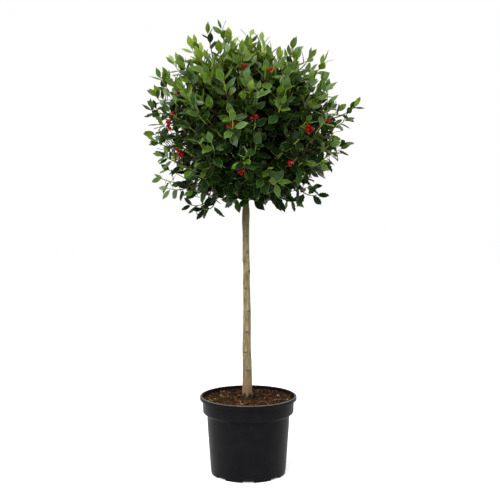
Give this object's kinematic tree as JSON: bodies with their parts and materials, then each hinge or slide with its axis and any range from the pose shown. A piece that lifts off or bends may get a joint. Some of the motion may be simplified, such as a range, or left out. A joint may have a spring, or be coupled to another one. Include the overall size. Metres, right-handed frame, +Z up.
{
  "type": "potted standard holly",
  "caption": "Young evergreen holly grown as a standard, with a round head of glossy leaves and red berries on a clear stem, in a round black nursery pot.",
  "frame": {"origin": "centre of the pot's flat underside, where it stands on the ground", "axes": "+Z up along the pot, with the side in the picture facing -Y and its right at +X"},
  "size_m": [0.6466, 0.5685, 1.3214],
  "materials": {
    "pot": "satin",
    "compost": "matte",
    "bark": "matte",
    "foliage": "satin"
  },
  "bodies": {
    "root": {"pot": "pot", "compost": "compost", "trunk": "bark", "bough_low_1": "bark", "bough_low_2": "bark", "bough_low_3": "bark", "bough_low_4": "bark", "bough_low_5": "bark", "bough_middle_1": "bark", "bough_middle_2": "bark", "bough_middle_3": "bark", "bough_middle_4": "bark", "bough_middle_5": "bark", "bough_middle_6": "bark", "bough_middle_7": "bark", "bough_high_1": "bark", "bough_high_2": "bark", "bough_high_3": "bark", "bough_high_4": "bark", "bough_high_5": "bark", "foliage_top": "foliage", "foliage_low_1": "foliage", "foliage_low_2": "foliage", "foliage_low_3": "foliage", "foliage_low_4": "foliage", "foliage_low_5": "foliage", "foliage_middle_1": "foliage", "foliage_middle_2": "foliage", "foliage_middle_3": "foliage", "foliage_middle_4": "foliage", "foliage_middle_5": "foliage", "foliage_middle_6": "foliage", "foliage_middle_7": "foliage", "foliage_high_1": "foliage", "foliage_high_2": "foliage", "foliage_high_3": "foliage", "foliage_high_4": "foliage", "foliage_high_5": "foliage"}
  },
  "joints": []
}
